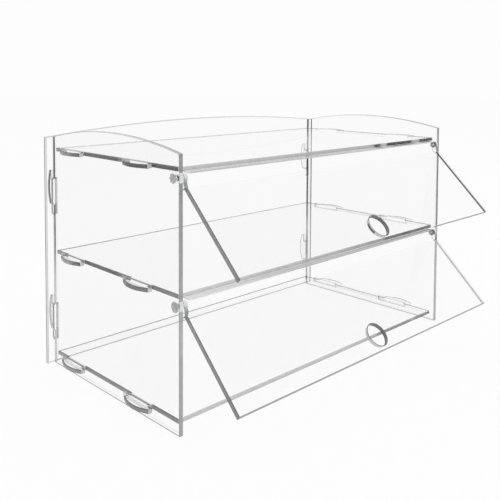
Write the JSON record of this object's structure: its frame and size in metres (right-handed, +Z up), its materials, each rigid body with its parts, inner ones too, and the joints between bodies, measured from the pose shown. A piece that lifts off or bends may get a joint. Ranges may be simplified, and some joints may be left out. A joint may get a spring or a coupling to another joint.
{
  "type": "pastry display case",
  "caption": "Clear acrylic countertop display case with shelves, arched panels locked by hooks and slots, and lift-up doors with round finger holes on pivot screws.",
  "frame": {"origin": "under the middle of the whole object, with the doors as they rest, on the plane that it stands on", "axes": "+X across the case, +Y from the doors to the back panel, +Z up"},
  "size_m": [0.4598, 0.3088, 0.27],
  "materials": {
    "clear_acrylic": "polished clear sheet",
    "clear_nylon": "translucent moulded",
    "dark_rubber": "matte dark"
  },
  "bodies": {
    "case": {"back_panel": "clear_acrylic", "left_side_panel": "clear_acrylic", "right_side_panel": "clear_acrylic", "bottom_shelf": "clear_acrylic", "middle_shelf": "clear_acrylic", "top_shelf": "clear_acrylic", "middle_front_strip": "clear_acrylic", "top_front_strip": "clear_acrylic", "lower_left_thumbscrew": "clear_nylon", "lower_left_washer": "clear_nylon", "lower_left_collar": "dark_rubber", "lower_left_nut": "clear_nylon", "upper_left_thumbscrew": "clear_nylon", "upper_left_washer": "clear_nylon", "upper_left_collar": "dark_rubber", "upper_left_nut": "clear_nylon", "lower_right_pin": "clear_nylon", "lower_right_collar": "dark_rubber", "lower_right_nut": "clear_nylon", "upper_right_pin": "clear_nylon", "upper_right_collar": "dark_rubber", "upper_right_nut": "clear_nylon"},
    "lower_flap": {"lower_door": "clear_acrylic", "lower_left_hinge_arm": "clear_acrylic", "lower_right_hinge_arm": "clear_acrylic"},
    "upper_flap": {"upper_door": "clear_acrylic", "upper_left_hinge_arm": "clear_acrylic", "upper_right_hinge_arm": "clear_acrylic"}
  },
  "joints": [
    {"name": "lower_door_hinge", "type": "hinge", "parent": "case", "child": "lower_flap", "pos_m": [0, -0.08036, 0.1198], "axis": [-1, 0, 0], "range_deg": [-45, 65]},
    {"name": "upper_door_hinge", "type": "hinge", "parent": "case", "child": "upper_flap", "pos_m": [0, -0.08036, 0.2363], "axis": [-1, 0, 0], "range_deg": [-45, 65]}
  ]
}
